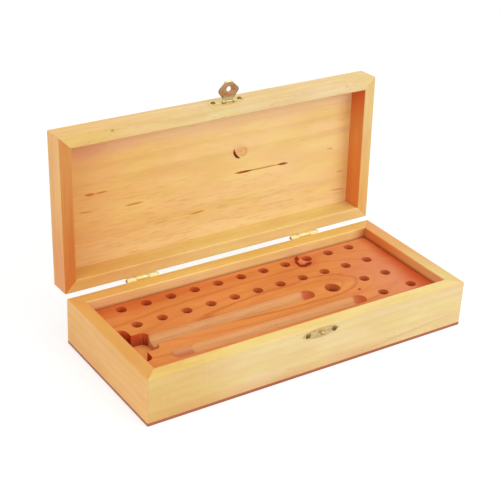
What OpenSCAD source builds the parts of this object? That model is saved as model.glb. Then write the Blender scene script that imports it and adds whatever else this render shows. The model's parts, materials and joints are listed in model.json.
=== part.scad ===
// Hinged wooden tool box: a mitred base with a drilled tool block, a lid on two stop hinges
// and a hasp that drops over a hook.
// The origin is the middle of the underside. The front faces -Y, +Z is up, all sizes are in millimetres.
// The lid stands open against its hinge stops, and the hasp stands square to the lid's front rail.

/* [Base] */
// Length of the box, side to side
box_l = 300; // [290:1:360]
// Depth of the box, front to back
box_d = 132; // [126:1:170]
// Height of the base, from the underside to the rim
base_h = 41; // [37:0.5:60]
// Thickness of the base walls
base_wall = 12; // [10:0.5:13]
// Thickness of the bottom panel
bottom_t = 3; // [2:0.5:6]
// Rounding of the outer edges
edge_r = 0.8; // [0.4:0.1:1.2]

/* [Lid] */
// Height of the lid, rails and panel together
lid_h = 20.5; // [17:0.5:30]
// Thickness of the lid rails
lid_wall = 10.5; // [10:0.5:13]
// Thickness of the lid panel
lid_panel_t = 2; // [1.8:0.1:5]
// Gap left between the closed lid and the base rim
lid_gap = 0.3; // [0.2:0.1:0.6]
// Angle at which the hinge stops hold the open lid
lid_open = 92.2; // [88:0.1:110]

/* [Tool block] */
// Depth of the block's top below the rim
block_drop = 9; // [6:0.5:12]
// Gap between the block and each wall
block_gap = 0.6; // [0.3:0.1:1.5]
// Diameter of a tool hole
hole_d = 9; // [5:0.5:11]
// Depth of a tool hole
hole_deep = 24; // [12:1:26]
// Spacing of the tool holes along a row
hole_pitch = 22.6; // [20:0.1:23]
// Number of tool holes in each of the two long rows
row_holes = 11; // [9:2:11]
// Spacing of the rows
row_pitch = 26; // [24:0.5:27]
// Distance from the block's back edge to the first row
first_row = 9.2; // [8:0.1:10]
// Distance from the last hole column to the odd hole of the front row
odd_hole_step = 6.8; // [4:0.1:10]
// Diameter of the wide handle hole
wide_hole_d = 13.5; // [10:0.5:16]
// Distance from the wide hole to the hole column on its right
wide_hole_step = 33.2; // [28:0.1:36]
// Diameter of the small key hole
key_hole_d = 3; // [2:0.5:4]
// Depth of the small key hole
key_hole_deep = 16; // [8:1:20]

/* [Grooves and pocket] */
// Radius of the handle groove
handle_groove_r = 7; // [5:0.5:7.5]
// Depth of the handle groove
handle_groove_deep = 6; // [4:0.5:6.5]
// Wood left between the handle groove and the wide hole
handle_groove_end_gap = 12; // [8:0.5:20]
// Radius of the front groove
front_groove_r = 6.3; // [5:0.1:6.5]
// Depth of the front groove
front_groove_deep = 5.3; // [4:0.1:6]
// Length of the front groove
front_groove_l = 183; // [120:1:186]
// Wood left between the front groove and the hole on its right
front_groove_end_gap = 13.8; // [10:0.1:20]
// Depth of the T-shaped pocket
pocket_deep = 11; // [8:0.5:20]
// Wood left between the pocket and the block's left end
pocket_edge = 1.2; // [1:0.1:4]
// Length of the pocket's crossbar, front to back
crossbar_l = 49; // [40:1:52]
// Width of the pocket's crossbar
crossbar_w = 11; // [8:0.5:12]
// Length of the pocket's head, front to back
head_l = 26; // [18:0.5:30]
// Width of the pocket's head, beside the crossbar
head_w = 12.5; // [8:0.5:14]
// Corner radius of the pocket's head
head_r = 5; // [3:0.5:6]

/* [Hinges] */
// Length of a hinge
hinge_l = 28.5; // [24:0.5:36]
// Distance from the box's end to the middle of its hinge
hinge_inset = 69; // [40:1:90]
// Distance from the hinge pin to the end of each leaf
leaf_h = 11; // [9:0.5:13]
// Thickness of a leaf
leaf_t = 0.9; // [0.8:0.1:1]
// Outer diameter of the knuckles
knuckle_d = 3.4; // [3:0.1:3.6]
// Diameter of the hinge pins
pin_d = 1.8; // [1.6:0.1:2]
// Distance from the back face to the hinge pin's axis
axis_out = 2.2; // [2.1:0.1:2.6]
// Share of a hinge's length taken by its middle knuckle
middle_share = 0.4; // [0.3:0.05:0.5]
// Length of the stop tab below the pin's axis
stop_l = 5; // [4:0.5:7]
// Distance from a hinge's middle to each of its screws
hinge_screw_x = 9; // [7:0.5:10]
// Head diameter of a hinge screw
hinge_screw_d = 4; // [3:0.1:4.5]

/* [Clasp] */
// Distance of the clasp to the right of the middle
clasp_x = 3; // [-20:0.5:20]
// Height of the hasp's pin above the closed lid's lower edge
clasp_up = 5.2; // [4.5:0.1:6]
// Distance from the lid's front face to the hasp pin's axis
clasp_out = 1.6; // [1.6:0.1:2.2]
// Length of the clasp plate and of the catch plate
plate_l = 35; // [32:0.5:40]
// Height of the two plates
plate_h = 8; // [7:0.5:9]
// Thickness of the two plates and of the hasp
plate_t = 0.8; // [0.6:0.1:0.9]
// Distance from a plate's middle to each of its screws
plate_screw_x = 12.6; // [12.5:0.1:13.5]
// Head diameter of a plate screw
plate_screw_d = 4.6; // [4:0.1:4.8]
// Height of a plate screw's round head
plate_screw_head = 1.2; // [0.8:0.1:1.3]
// Distance from the hasp's pin to the middle of its hole
hasp_reach = 10.3; // [9.5:0.1:11]
// Diameter of the hasp's hole
hasp_hole_d = 4.4; // [4.2:0.1:5]
// Width of the hasp at its pin
hasp_root_w = 11.6; // [11:0.1:13]
// Width of the hasp at its widest
hasp_w = 19.2; // [17:0.1:19.8]
// Width of the hasp's finger lip
hasp_tip_w = 6.4; // [5:0.1:8]
// Distance from the hasp's pin to the end of its lip
hasp_l = 17.3; // [16.5:0.1:19]
// Outer diameter of the clasp's knuckles
clasp_knuckle_d = 2.6; // [2.4:0.1:2.6]
// Diameter of the clasp pin
clasp_pin_d = 1.2; // [1:0.1:1.4]
// Diameter of the catch hook
hook_d = 3.2; // [2.8:0.1:3.4]
// Height of the catch hook over its plate
hook_h = 2.8; // [2:0.1:3.2]

/* [Screws] */
// Diameter of a screw's shank
shank_d = 1.8; // [1.4:0.1:2]
// Length of a screw's shank
shank_l = 8; // [6:0.5:8.5]

/* [Hidden] */
$fn = 48;

// Overshoot of a cut past the face that it opens
cut = 1;
// Clearance between a pin or shank and its hole, on the radius
pin_gap = 0.05;
pilot_gap = 0.1;
// Clearance between pieces that move past each other
run_gap = 0.3;

// Colours
pale_wood = [0.91, 0.74, 0.45];
lid_wood = [0.90, 0.72, 0.45];
red_wood = [0.83, 0.47, 0.24];
panel_wood = [0.64, 0.34, 0.22];
brass = [0.80, 0.72, 0.46];
bronze = [0.70, 0.48, 0.30];
screw_metal = [0.50, 0.38, 0.18];

// Levels
lid_z = base_h + lid_gap;
lid_rail_top = lid_z + lid_h - lid_panel_t;
block_top = base_h - block_drop;

// Hinge axis
axis_y = box_d / 2 + axis_out;
axis_z = base_h + lid_gap / 2;
hinge_x = box_l / 2 - hinge_inset;
knuckle_r = knuckle_d / 2;
// Height at which a leaf's edge clears the other leaf's knuckle
leaf_clear = sqrt(max(0.25, pow(knuckle_r + run_gap, 2) - pow(axis_out - leaf_t, 2)));
middle_l = hinge_l * middle_share;
leaf_screw_z = (leaf_h + leaf_clear) / 2;
hinge_head_h = leaf_t * 0.75;
pin_head_d = pin_d * 1.4;
pin_head_t = 0.6;

// Clasp axis, with the lid closed
front_y = -box_d / 2;
clasp_y = front_y - clasp_out;
clasp_z = lid_z + clasp_up;
clasp_knuckle_r = clasp_knuckle_d / 2;
clasp_plate_z = clasp_z + plate_h * 0.4;
catch_z = clasp_z - hasp_reach;
hasp_ear_w = 2;
hasp_gap_w = hasp_root_w - 2 * hasp_ear_w;
clasp_middle_l = hasp_gap_w - 2 * run_gap;
clasp_notch_w = hasp_ear_w + 2 * run_gap;
clasp_pin_out = 0.6;
hasp_start = clasp_knuckle_r + run_gap;
hasp_lip_r = 1;
hasp_neck = 3.2;
hasp_corner_r = 1.4;

// Arc that rounds the corner b between a and c
function unit(v) = v / norm(v);
function rounded(a, b, c, r, n = 6) = let(
    u = unit(a - b), v = unit(c - b), half = acos(u * v) / 2,
    centre = b + unit(u + v) * r / sin(half),
    p = b + u * r / tan(half) - centre, q = b + v * r / tan(half) - centre,
    start = atan2(p.y, p.x), turn = (atan2(q.y, q.x) - start + 540) % 360 - 180
) [for (i = [0:n]) centre + r * [cos(start + turn * i / n), sin(start + turn * i / n)]];

// The right side of the hasp's outline, from its pin to its tip
hasp_corners = [
    [hasp_root_w / 2, 0], [hasp_root_w / 2, hasp_neck], [hasp_w / 2, hasp_reach - 2],
    [hasp_w / 2 - 0.4, hasp_reach + 0.4], [hasp_tip_w / 2, hasp_l - hasp_lip_r]
];
hasp_side = concat(
    [hasp_corners[0]],
    [for (i = [1:3]) each rounded(hasp_corners[i - 1], hasp_corners[i], hasp_corners[i + 1], hasp_corner_r)],
    [hasp_corners[4]]
);

// Tool block
block_l = box_l - 2 * base_wall - 2 * block_gap;
block_d = box_d - 2 * base_wall - 2 * block_gap;
row_y = [for (i = [0:3]) block_d / 2 - first_row - i * row_pitch];
last_x = hole_pitch * (row_holes - 1) / 2;
short_row_x = [last_x - hole_pitch, last_x];
front_row_x = [last_x - hole_pitch, last_x + odd_hole_step];
wide_x = short_row_x[0] - wide_hole_step;
key_x = short_row_x[0] - 14.9;
key_y = row_y[2] - 12.8;
handle_groove_y = row_y[2] + 0.8;
handle_groove_end = wide_x - wide_hole_d / 2 - handle_groove_end_gap;
front_groove_y = row_y[3] + 0.5;
front_groove_end = front_row_x[0] - hole_d / 2 - front_groove_end_gap;
crossbar_x = -block_l / 2 + pocket_edge + crossbar_w / 2;
pocket_y = handle_groove_y - 0.5;
head_x = crossbar_x + crossbar_w / 2 + head_w / 2;

// --- Shared shapes ---

// A rectangle with round corners, centred
module round_rect(w, h, r) {
    square([w - 2 * r, h], center = true);
    square([w, h - 2 * r], center = true);
    for (x = [-1, 1], y = [-1, 1])
        translate([x * (w / 2 - r), y * (h / 2 - r)]) circle(r);
}

// The outside of a box from z0 to z1, with round edges
module box_form(z0, z1) {
    h = z1 - z0;
    translate([0, 0, (z0 + z1) / 2]) intersection() {
        linear_extrude(h, center = true) round_rect(box_l, box_d, edge_r);
        rotate([90, 0, 0]) linear_extrude(box_d, center = true) round_rect(box_l, h, edge_r);
        rotate([90, 0, 90]) linear_extrude(box_l, center = true) round_rect(box_d, h, edge_r);
    }
}

// The plan of a long mitred board on the -Y side, t thick
module long_plan(t) {
    polygon([[-box_l / 2 - cut, -box_d / 2 - cut], [box_l / 2 + cut, -box_d / 2 - cut],
             [box_l / 2 - t, -box_d / 2 + t], [-box_l / 2 + t, -box_d / 2 + t]]);
}

// The plan of a short mitred board on the -X side, t thick
module short_plan(t) {
    polygon([[-box_l / 2 - cut, -box_d / 2 - cut], [-box_l / 2 + t, -box_d / 2 + t],
             [-box_l / 2 + t, box_d / 2 - t], [-box_l / 2 - cut, box_d / 2 + cut]]);
}

// The part of the base's box form that lies over the plan given, above the bottom panel
module base_board() {
    intersection() {
        box_form(0, base_h);
        translate([0, 0, bottom_t]) linear_extrude(base_h) children();
    }
}

// The part of the closed lid's box form that lies over the plan given, below the panel
module lid_board() {
    intersection() {
        box_form(lid_z, lid_z + lid_h);
        translate([0, 0, lid_z - cut]) linear_extrude(lid_rail_top - lid_z + cut) children();
    }
}

// Turns what is drawn for the closed lid to the open lid's place
module opened() {
    translate([0, axis_y, axis_z]) rotate([-lid_open, 0, 0]) translate([0, -axis_y, -axis_z]) children();
}

// Pilot holes, from y inwards along dir, at the x offsets given around x0
module pilots(x0, offsets, y, z, dir) {
    for (x = offsets)
        translate([x0 + x, y, z]) rotate([-90 * dir, 0, 0]) translate([0, 0, -cut])
            cylinder(r = shank_d / 2 + pilot_gap, h = shank_l + 2 * cut);
}

// A round-head screw with a slot, its head's seat at the origin and its shank along -Z
module round_head_screw(d, h) {
    sphere_r = (d * d / 4 + h * h) / (2 * h);
    difference() {
        union() {
            intersection() {
                translate([0, 0, h - sphere_r]) sphere(sphere_r);
                cylinder(d = d, h = h + cut);
            }
            translate([0, 0, -shank_l]) cylinder(d = shank_d, h = shank_l + 0.2);
            translate([0, 0, -shank_l - shank_d / 2]) cylinder(d1 = 0.4, d2 = shank_d, h = shank_d / 2);
        }
        translate([-d, -0.35, h * 0.5]) cube([2 * d, 0.7, h]);
    }
}

// A countersunk screw with a slot, its flat head flush with the origin's plane and its shank along -Z
module flat_head_screw(d) {
    difference() {
        union() {
            translate([0, 0, -hinge_head_h]) cylinder(d1 = shank_d, d2 = d, h = hinge_head_h);
            translate([0, 0, -shank_l]) cylinder(d = shank_d, h = shank_l - hinge_head_h + 0.1);
            translate([0, 0, -shank_l - shank_d / 2]) cylinder(d1 = 0.4, d2 = shank_d, h = shank_d / 2);
        }
        translate([-d, -0.3, -hinge_head_h * 0.5]) cube([2 * d, 0.6, leaf_t]);
    }
}

// A plate with pointed ends: the common part of two wide circles, in the XZ plane, outer face towards -Y
module pointed_plate() {
    arc_r = (plate_l * plate_l / 4 + plate_h * plate_h / 4) / plate_h;
    rotate([90, 0, 0]) difference() {
        intersection_for(s = [-1, 1]) translate([0, s * (arc_r - plate_h / 2), 0])
            cylinder(r = arc_r, h = plate_t, $fn = 180);
        for (x = [-plate_screw_x, plate_screw_x])
            translate([x, 0, -cut]) cylinder(r = shank_d / 2 + pilot_gap, h = plate_t + 2 * cut);
    }
}

// --- Base ---

module base_front_wall() color(pale_wood) difference() {
    base_board() long_plan(base_wall);
    pilots(clasp_x, [-plate_screw_x, plate_screw_x], front_y, catch_z, 1);
}

module base_back_wall() color(pale_wood) difference() {
    base_board() rotate(180) long_plan(base_wall);
    for (s = [-1, 1])
        pilots(s * hinge_x, [-hinge_screw_x, hinge_screw_x], box_d / 2, axis_z - leaf_screw_z, -1);
}

module base_left_wall() color(pale_wood) base_board() short_plan(base_wall);

module base_right_wall() color(pale_wood) base_board() rotate(180) short_plan(base_wall);

module base_bottom_panel() color(panel_wood) intersection() {
    box_form(0, base_h);
    translate([-box_l / 2, -box_d / 2, -cut]) cube([box_l, box_d, bottom_t + cut]);
}

module tool_hole(x, y, d, deep)
    translate([x, y, block_top - deep]) cylinder(d = d, h = deep + cut);

module groove(x0, x1, y, r, deep, ends) {
    translate([x0, y, block_top + r - deep]) rotate([0, 90, 0]) cylinder(r = r, h = x1 - x0);
    for (x = ends) translate([x, y, block_top + r - deep]) sphere(r);
}

module t_pocket() translate([0, pocket_y, block_top - pocket_deep]) linear_extrude(pocket_deep + cut) {
    translate([crossbar_x, 0]) {
        square([crossbar_w, crossbar_l - crossbar_w], center = true);
        for (s = [-1, 1]) translate([0, s * (crossbar_l - crossbar_w) / 2]) circle(d = crossbar_w);
    }
    translate([crossbar_x, -head_l / 2 + head_r]) square([head_w + crossbar_w / 2, head_l - 2 * head_r]);
    translate([crossbar_x, -head_l / 2]) square([head_w + crossbar_w / 2 - head_r, head_l]);
    for (s = [-1, 1]) translate([head_x + head_w / 2 - head_r, s * (head_l / 2 - head_r)]) circle(head_r);
}

module tool_block() color(red_wood) difference() {
    translate([-block_l / 2, -block_d / 2, bottom_t]) cube([block_l, block_d, block_top - bottom_t]);
    for (row = [0, 1], i = [0:row_holes - 1])
        tool_hole((i - (row_holes - 1) / 2) * hole_pitch, row_y[row], hole_d, hole_deep);
    for (x = short_row_x) tool_hole(x, row_y[2], hole_d, hole_deep);
    for (x = front_row_x) tool_hole(x, row_y[3], hole_d, hole_deep);
    tool_hole(wide_x, row_y[2], wide_hole_d, hole_deep);
    tool_hole(key_x, key_y, key_hole_d, key_hole_deep);
    groove(head_x, handle_groove_end - handle_groove_r, handle_groove_y, handle_groove_r,
           handle_groove_deep, [handle_groove_end - handle_groove_r]);
    groove(front_groove_end - front_groove_l + front_groove_r, front_groove_end - front_groove_r,
           front_groove_y, front_groove_r, front_groove_deep,
           [front_groove_end - front_groove_l + front_groove_r, front_groove_end - front_groove_r]);
    t_pocket();
}

module catch_plate() color(brass) translate([clasp_x, front_y, catch_z]) {
    pointed_plate();
    // The hook: a round stud with a domed top and a slit
    rotate([90, 0, 0]) translate([0, 0, plate_t]) difference() {
        union() {
            cylinder(d = hook_d, h = hook_h - hook_d / 4);
            translate([0, 0, hook_h - hook_d / 4]) intersection() {
                translate([0, 0, -hook_d * 3 / 8]) sphere(hook_d * 5 / 8);
                cylinder(d = hook_d, h = hook_d);
            }
        }
        translate([-hook_d, -0.3, hook_h * 0.45]) cube([hook_d * 1.2, 0.6, hook_h]);
    }
}

module catch_screws() color(screw_metal)
    for (x = [-plate_screw_x, plate_screw_x])
        translate([clasp_x + x, front_y - plate_t, catch_z]) rotate([90, 0, 0]) rotate(x > 0 ? 55 : -35)
            round_head_screw(plate_screw_d, plate_screw_head);

// --- Hinges ---

// A leaf on the -Z side of its axis, the wood's face on -Y: plate, knuckles over the x ranges given, holes
module leaf(ranges) {
    difference() {
        union() {
            translate([-hinge_l / 2, -axis_out, -leaf_h]) cube([hinge_l, leaf_t, leaf_h - leaf_clear]);
            for (r = ranges) translate([r[0], 0, 0]) rotate([90, 0, 90]) linear_extrude(r[1] - r[0]) {
                circle(knuckle_r);
                polygon([[-axis_out, -leaf_clear - leaf_t], [-axis_out, -leaf_clear + 0.5],
                         [-knuckle_r * 0.8, knuckle_r * 0.6], [0, 0], [-knuckle_r * 0.5, -knuckle_r * 0.86],
                         [-axis_out + leaf_t, -leaf_clear - leaf_t]]);
            }
        }
        translate([-hinge_l / 2 - cut, 0, 0]) rotate([0, 90, 0])
            cylinder(r = pin_d / 2 + pin_gap, h = hinge_l + 2 * cut);
        for (x = [-hinge_screw_x, hinge_screw_x])
            translate([x, -axis_out - cut, -leaf_screw_z]) rotate([-90, 0, 0]) {
                cylinder(r = shank_d / 2 + pilot_gap, h = leaf_t + 2 * cut);
                translate([0, 0, cut + leaf_t - hinge_head_h])
                    cylinder(d1 = shank_d + 2 * pin_gap, d2 = hinge_screw_d + 2 * pin_gap, h = hinge_head_h);
                translate([0, 0, cut + leaf_t - 0.01])
                    cylinder(d = hinge_screw_d + 2 * pin_gap, h = cut);
            }
    }
}

module base_leaf() leaf([[-hinge_l / 2, -middle_l / 2 - run_gap], [middle_l / 2 + run_gap, hinge_l / 2]]);

module lid_leaf() mirror([0, 0, 1]) leaf([[-middle_l / 2, middle_l / 2]]);

// The tab below the lid leaf's knuckle that meets the base leaf when the lid is open
module stop_tab() difference() {
    translate([-middle_l / 4, -axis_out + leaf_t + run_gap, -stop_l]) cube([middle_l / 2, 1, stop_l]);
    translate([-middle_l, 0, 0]) rotate([0, 90, 0]) cylinder(r = pin_d / 2 + pin_gap, h = 2 * middle_l);
}

module hinge_base_leaf(side) color(brass) translate([side * hinge_x, axis_y, axis_z]) base_leaf();

module hinge_lid_leaf(side) color(brass) translate([side * hinge_x, axis_y, axis_z]) {
    rotate([-lid_open, 0, 0]) lid_leaf();
    stop_tab();
}

module hinge_pin(side) color(bronze) translate([side * hinge_x, axis_y, axis_z]) rotate([0, 90, 0]) {
    cylinder(d = pin_d, h = hinge_l + pin_head_t, center = true);
    for (s = [-1, 1]) translate([0, 0, s * (hinge_l + pin_head_t) / 2])
        cylinder(d = pin_head_d, h = pin_head_t, center = true);
}

module left_hinge_base_leaf() hinge_base_leaf(-1);
module right_hinge_base_leaf() hinge_base_leaf(1);
module left_hinge_lid_leaf() hinge_lid_leaf(-1);
module right_hinge_lid_leaf() hinge_lid_leaf(1);
module left_hinge_pin() hinge_pin(-1);
module right_hinge_pin() hinge_pin(1);

// Four screws with their heads flush with the leaves' outer faces, at height z
module leaf_screws(z) color(screw_metal)
    for (s = [-1, 1], x = [-hinge_screw_x, hinge_screw_x])
        translate([s * hinge_x + x, box_d / 2 + leaf_t, z]) rotate([-90, 0, 0]) rotate(s * 40 + x * 5)
            flat_head_screw(hinge_screw_d);

module hinge_base_screws() leaf_screws(axis_z - leaf_screw_z);

module hinge_lid_screws() opened() leaf_screws(axis_z + leaf_screw_z);

// --- Lid ---

module lid_front_rail() color(lid_wood) opened() difference() {
    lid_board() long_plan(lid_wall);
    pilots(clasp_x, [-plate_screw_x, plate_screw_x], front_y, clasp_plate_z, 1);
}

module lid_back_rail() color(lid_wood) opened() difference() {
    lid_board() rotate(180) long_plan(lid_wall);
    for (s = [-1, 1])
        pilots(s * hinge_x, [-hinge_screw_x, hinge_screw_x], box_d / 2, axis_z + leaf_screw_z, -1);
}

module lid_left_rail() color(lid_wood) opened() lid_board() short_plan(lid_wall);

module lid_right_rail() color(lid_wood) opened() lid_board() rotate(180) short_plan(lid_wall);

module lid_panel() color(lid_wood) opened() intersection() {
    box_form(lid_z, lid_z + lid_h);
    translate([-box_l / 2, -box_d / 2, lid_rail_top]) cube([box_l, box_d, lid_panel_t + cut]);
}

// --- Clasp ---

module clasp_plate() color(brass) opened() translate([clasp_x, 0, 0]) difference() {
    union() {
        translate([0, front_y, clasp_plate_z]) pointed_plate();
        translate([0, clasp_y, clasp_z]) rotate([0, 90, 0])
            cylinder(r = clasp_knuckle_r, h = clasp_middle_l, center = true);
    }
    // Notches for the hasp's knuckles
    for (s = [-1, 1])
        translate([s * (clasp_middle_l + clasp_notch_w) / 2, front_y, clasp_z + hasp_start - plate_h / 2])
            cube([clasp_notch_w, 4 * plate_t, plate_h], center = true);
    translate([0, clasp_y, clasp_z]) rotate([0, 90, 0])
        cylinder(r = clasp_pin_d / 2 + pin_gap, h = clasp_middle_l + 2 * cut, center = true);
}

module clasp_pin() color(bronze) opened() translate([clasp_x, clasp_y, clasp_z]) rotate([0, 90, 0])
    cylinder(d = clasp_pin_d, h = hasp_root_w + clasp_pin_out, center = true);

module clasp_screws() color(screw_metal) opened()
    for (x = [-plate_screw_x, plate_screw_x])
        translate([clasp_x + x, front_y - plate_t, clasp_plate_z]) rotate([90, 0, 0])
            rotate(x > 0 ? 20 : 75) round_head_screw(plate_screw_d, plate_screw_head);

// The hasp lies in the XY plane, its pin on the X axis, its length along +Y and its lip towards +Z
module hasp_shape() difference() {
    union() {
        translate([0, 0, -plate_t / 2]) linear_extrude(plate_t) difference() {
            polygon(concat(hasp_side, [for (i = [len(hasp_side) - 1:-1:0]) [-hasp_side[i].x, hasp_side[i].y]]));
            translate([-hasp_gap_w / 2, -cut]) square([hasp_gap_w, hasp_start + cut]);
        }
        for (s = [-1, 1]) translate([s * (hasp_root_w - hasp_ear_w) / 2, 0, 0]) rotate([0, 90, 0])
            cylinder(r = clasp_knuckle_r, h = hasp_ear_w, center = true);
        translate([0, hasp_l - hasp_lip_r, hasp_lip_r - plate_t / 2]) rotate([0, 90, 0])
            cylinder(r = hasp_lip_r, h = hasp_tip_w, center = true);
    }
    rotate([0, 90, 0]) cylinder(r = clasp_pin_d / 2 + pin_gap, h = hasp_root_w + 2 * cut, center = true);
    translate([0, hasp_reach, -cut]) cylinder(d = hasp_hole_d, h = 2 * cut);
}

module clasp_hasp() color(bronze) opened() translate([clasp_x, clasp_y, clasp_z]) rotate(180) hasp_shape();

base_front_wall();
base_back_wall();
base_left_wall();
base_right_wall();
base_bottom_panel();
tool_block();
catch_plate();
catch_screws();
left_hinge_base_leaf();
right_hinge_base_leaf();
left_hinge_pin();
right_hinge_pin();
hinge_base_screws();
lid_front_rail();
lid_back_rail();
lid_left_rail();
lid_right_rail();
lid_panel();
left_hinge_lid_leaf();
right_hinge_lid_leaf();
hinge_lid_screws();
clasp_plate();
clasp_pin();
clasp_screws();
clasp_hasp();
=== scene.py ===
"""A hinged wooden tool box with a drilled block: its boards, panels, block, hardware and stage."""

import json
import math

import bpy
import numpy as np
from mathutils import Matrix, Vector

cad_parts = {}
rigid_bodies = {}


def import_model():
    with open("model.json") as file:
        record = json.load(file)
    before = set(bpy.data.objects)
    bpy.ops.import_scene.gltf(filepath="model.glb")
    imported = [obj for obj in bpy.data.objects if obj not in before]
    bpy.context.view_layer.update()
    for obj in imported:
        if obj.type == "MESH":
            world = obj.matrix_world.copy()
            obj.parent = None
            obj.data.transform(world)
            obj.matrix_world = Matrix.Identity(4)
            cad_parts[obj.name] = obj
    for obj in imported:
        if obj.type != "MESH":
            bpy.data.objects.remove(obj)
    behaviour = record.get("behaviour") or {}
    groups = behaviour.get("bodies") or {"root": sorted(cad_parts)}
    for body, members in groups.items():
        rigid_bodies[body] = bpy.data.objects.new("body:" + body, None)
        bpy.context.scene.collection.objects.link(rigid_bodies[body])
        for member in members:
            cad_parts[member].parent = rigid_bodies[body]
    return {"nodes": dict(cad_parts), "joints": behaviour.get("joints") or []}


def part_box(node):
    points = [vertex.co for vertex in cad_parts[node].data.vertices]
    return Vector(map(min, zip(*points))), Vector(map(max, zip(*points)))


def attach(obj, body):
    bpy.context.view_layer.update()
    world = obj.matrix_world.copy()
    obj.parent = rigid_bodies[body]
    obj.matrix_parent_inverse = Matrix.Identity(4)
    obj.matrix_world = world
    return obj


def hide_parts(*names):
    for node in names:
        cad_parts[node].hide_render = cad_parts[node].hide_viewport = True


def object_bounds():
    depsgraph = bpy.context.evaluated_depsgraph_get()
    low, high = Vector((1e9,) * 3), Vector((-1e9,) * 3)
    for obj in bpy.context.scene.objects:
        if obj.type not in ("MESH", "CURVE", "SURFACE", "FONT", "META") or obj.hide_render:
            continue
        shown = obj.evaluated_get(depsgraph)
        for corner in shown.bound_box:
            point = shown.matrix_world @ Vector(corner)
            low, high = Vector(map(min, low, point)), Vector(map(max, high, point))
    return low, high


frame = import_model()
CAD_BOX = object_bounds()

bl_info = {
    "name": "Hinged tool box",
    "version": (1, 0, 0),
    "blender": (4, 5, 0),
    "location": "3D View > Sidebar > Tool box",
    "description": "Builds the boards, the drilled block, the hardware and the stage of a hinged tool box",
    "category": "Add Mesh",
}

LID_HINGE = next(joint for joint in frame["joints"] if joint["name"] == "lid_hinge")
HINGE = LID_HINGE["pos_m"]
OPEN_ANGLE = math.radians(LID_HINGE["range_deg"][1])
# Turns the closed lid to its open place, and back
OPENED = (Matrix.Translation(HINGE) @ Matrix.Rotation(-OPEN_ANGLE, 4, "X")
          @ Matrix.Translation([-v for v in HINGE]))
CLOSED = OPENED.inverted()
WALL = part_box("base_front_wall")
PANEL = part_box("base_bottom_panel")
# Half the box's length and half its depth, seen from above
HALF_L, HALF_D = CAD_BOX[1].x, -PANEL[0].y
# The hinges' axis lies in the middle of the gap between the base and the closed lid
HALF_GAP = 0.00015
LID_LOW = HINGE[2] + HALF_GAP
# Rounding of the edges that are glued to another board
GLUED_EDGE = 0.0001
# Rounding of the edges of the hinges' leaves and pins, of the clasp's plates, and of small turned parts
HINGE_EDGE, PLATE_EDGE, SMALL_EDGE = 0.00012, 0.00015, 0.0001
# Points of a skin are kept at least this far apart
LEAST = 1e-5
# Points of a board's rounded edge, and of a panel's rounded corner
EDGE_STEPS, CORNER_STEPS = 6, 7

# Ways that a face can point. FRONT_EDGE is the rounded edge between a front and a top.
UP, FRONT, BACK, LEFT, RIGHT = (0, 0, 1), (0, -1, 0), (0, 1, 0), (-1, 0, 0), (1, 0, 0)
FRONT_EDGE = (0, -0.707, 0.707)
# How nearly a face has to point that way, for the tone of a rounded edge: painted highlight on some boards,
# painted shade on others
EDGE_LIMITS = (0.80, 0.94)


def rgb(r, g, b):
    """A screen colour, 0 to 255, as the linear colour that a shader takes."""
    return tuple(v / 12.92 if v <= 0.04045 else ((v + 0.055) / 1.055) ** 2.4
                 for v in (r / 255, g / 255, b / 255))


# --- Shaders ---

class Value:
    """A number, colour or vector on a shader socket. Python's operators on a number add Math nodes."""

    def __init__(self, graph, socket):
        self.graph, self.socket = graph, socket

    def _math(self, operation, *values):
        return self.graph.node("ShaderNodeMath", {"operation": operation}, dict(enumerate(values)))

    def __add__(self, other):
        return self._math("ADD", self, other)

    def __sub__(self, other):
        return self._math("SUBTRACT", self, other)

    def __rsub__(self, other):
        return self._math("SUBTRACT", other, self)

    def __mul__(self, other):
        return self._math("MULTIPLY", self, other)

    def __truediv__(self, other):
        return self._math("DIVIDE", self, other)

    def __rtruediv__(self, other):
        return self._math("DIVIDE", other, self)

    __radd__, __rmul__ = __add__, __mul__

    def root(self):
        return self._math("SQRT", self)

    def size(self):
        return self._math("ABSOLUTE", self)

    def fraction(self):
        return self._math("FRACT", self)

    def top(self, other):
        """The greater of the two."""
        return self._math("MAXIMUM", self, other)

    def ramp(self, low, high, start=0.0, end=1.0):
        """A smooth step: start below low, end above high."""
        return self.graph.node("ShaderNodeMapRange", {"interpolation_type": "SMOOTHSTEP"},
                               {"Value": self, "From Min": low, "From Max": high,
                                "To Min": start, "To Max": end})


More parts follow.
